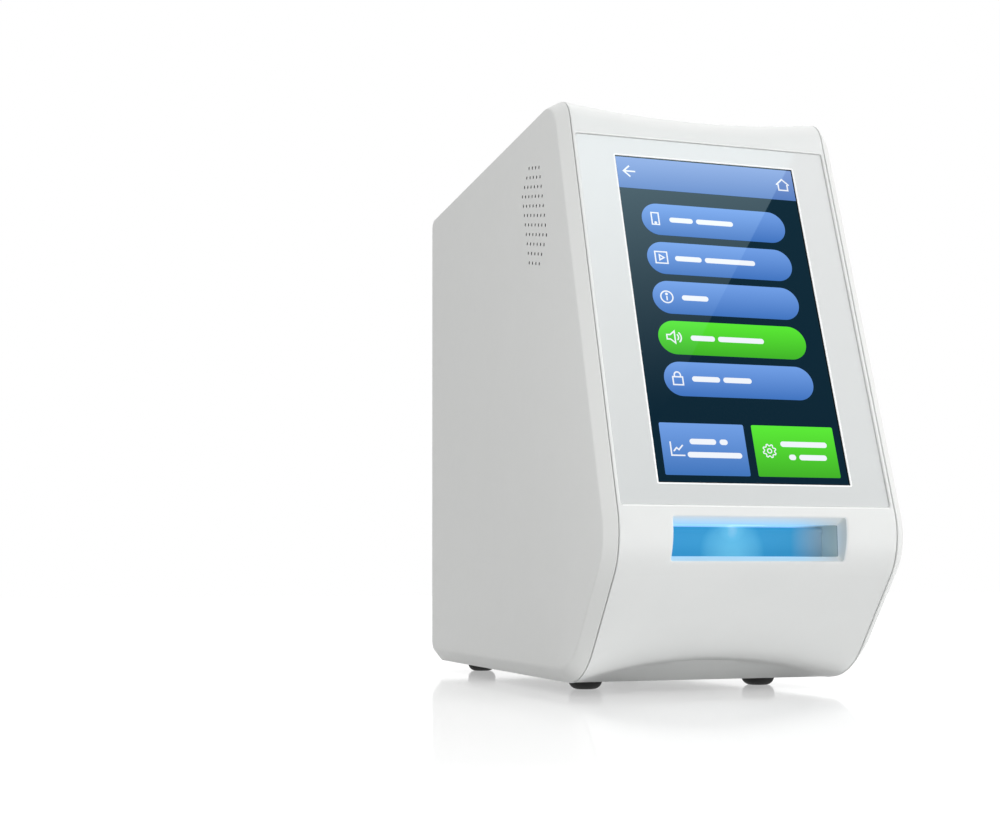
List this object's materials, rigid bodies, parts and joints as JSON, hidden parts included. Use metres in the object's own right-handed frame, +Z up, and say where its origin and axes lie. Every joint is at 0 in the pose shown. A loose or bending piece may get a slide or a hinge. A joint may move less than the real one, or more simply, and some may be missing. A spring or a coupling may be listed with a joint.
{
  "type": "automatic pill dispenser",
  "caption": "Counter-top automatic pill dispenser with a leaning touch screen, a lit dispensing slot and a lockable rear door for the refill cassette.",
  "frame": {"origin": "under the middle of the outline, on the surface that the feet stand on", "axes": "+Z up, -Y towards the person in front of the screen, +X to that person's right"},
  "size_m": [0.195, 0.412, 0.3794],
  "materials": {
    "shell_white": "satin",
    "inner_grey": "satin",
    "slot_liner_pale": "satin",
    "gate_blue": "satin",
    "lens_clear": "gloss",
    "cover_glass_pale": "gloss",
    "display_dark": "gloss",
    "steel": "brushed",
    "rubber_black": "matte",
    "dark_plastic": "matte",
    "board_green": "satin",
    "pouch_film": "gloss",
    "button_grey": "satin",
    "battery_blue": "satin"
  },
  "bodies": {
    "housing": {"centre_shell": "shell_white", "left_side_panel": "shell_white", "right_side_panel": "shell_white", "base_plate": "shell_white", "rear_frame": "shell_white", "pouch_chute": "inner_grey", "cassette_body": "inner_grey", "cassette_lid": "inner_grey", "slot_liner": "slot_liner_pale", "light_lens": "lens_clear", "cover_glass": "cover_glass_pale", "touch_display": "display_dark", "display_bracket": "steel", "gate_pin": "steel", "left_drive_plate": "steel", "right_drive_plate": "steel", "strip_guide": "steel", "cutter_guide_rod": "steel", "cutter_anvil": "steel", "cassette_cradle": "steel", "upper_hinge_pin": "steel", "lower_hinge_pin": "steel", "front_left_foot_screw": "steel", "front_right_foot_screw": "steel", "rear_left_foot_screw": "steel", "rear_right_foot_screw": "steel", "front_left_foot": "rubber_black", "front_right_foot": "rubber_black", "rear_left_foot": "rubber_black", "rear_right_foot": "rubber_black", "feed_motor": "dark_plastic", "cutter_motor": "dark_plastic", "power_switch": "dark_plastic", "power_inlet": "dark_plastic", "left_speaker": "dark_plastic", "right_speaker": "dark_plastic", "main_board": "board_green", "io_board": "board_green", "light_board": "board_green", "pouch_strip": "pouch_film", "backup_battery": "battery_blue"},
    "rear_door": {"rear_door": "shell_white", "lock_collar": "steel"},
    "door_lock": {"lock_plug": "steel", "lock_cam": "steel"},
    "pouch_gate": {"pouch_gate": "gate_blue"},
    "feed_roller": {"feed_shaft": "steel", "feed_roller": "rubber_black", "feed_gear": "inner_grey", "drive_gear": "inner_grey"},
    "pinch_roller": {"pinch_shaft": "steel", "pinch_roller": "rubber_black", "pinch_gear": "inner_grey"},
    "motor_pinion": {"motor_pinion": "steel"},
    "pouch_roll": {"pouch_roll": "pouch_film", "roll_spindle": "dark_plastic"},
    "cutter_carriage": {"cutter_carriage": "dark_plastic"},
    "cutter_screw": {"cutter_screw": "steel"},
    "cutter_blade": {"cutter_blade": "steel"},
    "power_button": {"power_button": "button_grey"}
  },
  "joints": [
    {"name": "rear_door_hinge", "type": "hinge", "parent": "housing", "child": "rear_door", "pos_m": [-0.0632, 0.2028, 0.16], "axis": [0, 0, 1], "range_deg": [0, 105]},
    {"name": "door_lock_turn", "type": "hinge", "parent": "rear_door", "child": "door_lock", "pos_m": [0.0406, 0.203, 0.16], "axis": [0, 1, 0], "range_deg": [0, 90]},
    {"name": "pouch_gate_swing", "type": "hinge", "parent": "housing", "child": "pouch_gate", "pos_m": [0, -0.17685, 0.0991], "axis": [-1, 0, 0], "range_deg": [0, 35]},
    {"name": "feed_roller_turn", "type": "hinge", "parent": "housing", "child": "feed_roller", "pos_m": [0, -0.08195, 0.2], "axis": [1, 0, 0], "continuous": true},
    {"name": "pinch_roller_turn", "type": "hinge", "parent": "housing", "child": "pinch_roller", "pos_m": [0, -0.10735, 0.2], "axis": [1, 0, 0], "continuous": true},
    {"name": "motor_pinion_turn", "type": "hinge", "parent": "housing", "child": "motor_pinion", "pos_m": [0.06, -0.05752, 0.21909], "axis": [1, 0, 0], "continuous": true},
    {"name": "pouch_roll_turn", "type": "hinge", "parent": "housing", "child": "pouch_roll", "pos_m": [0, 0.07935, 0.151], "axis": [1, 0, 0], "continuous": true},
    {"name": "cutter_travel", "type": "slide", "parent": "housing", "child": "cutter_carriage", "axis": [1, 0, 0], "range_m": [0, 0.082]},
    {"name": "cutter_screw_turn", "type": "hinge", "parent": "housing", "child": "cutter_screw", "pos_m": [0, -0.11265, 0.164], "axis": [1, 0, 0], "continuous": true},
    {"name": "cutter_blade_turn", "type": "hinge", "parent": "cutter_carriage", "child": "cutter_blade", "pos_m": [-0.041, -0.10385, 0.172], "axis": [0, 0, 1], "continuous": true},
    {"name": "power_button_press", "type": "slide", "parent": "housing", "child": "power_button", "axis": [0, -1, 0], "range_m": [0, 0.002], "stiffness_N_per_m": 400}
  ],
  "couplings": [
    {"joint": "pinch_roller_turn", "follows": "feed_roller_turn", "ratio": -1},
    {"joint": "motor_pinion_turn", "follows": "feed_roller_turn", "ratio": -4.1667},
    {"joint": "pouch_roll_turn", "follows": "feed_roller_turn", "ratio": 0.13378},
    {"joint": "cutter_screw_turn", "follows": "cutter_travel", "rad_per_m": 392.7},
    {"joint": "cutter_blade_turn", "follows": "cutter_travel", "rad_per_m": 117.65}
  ]
}
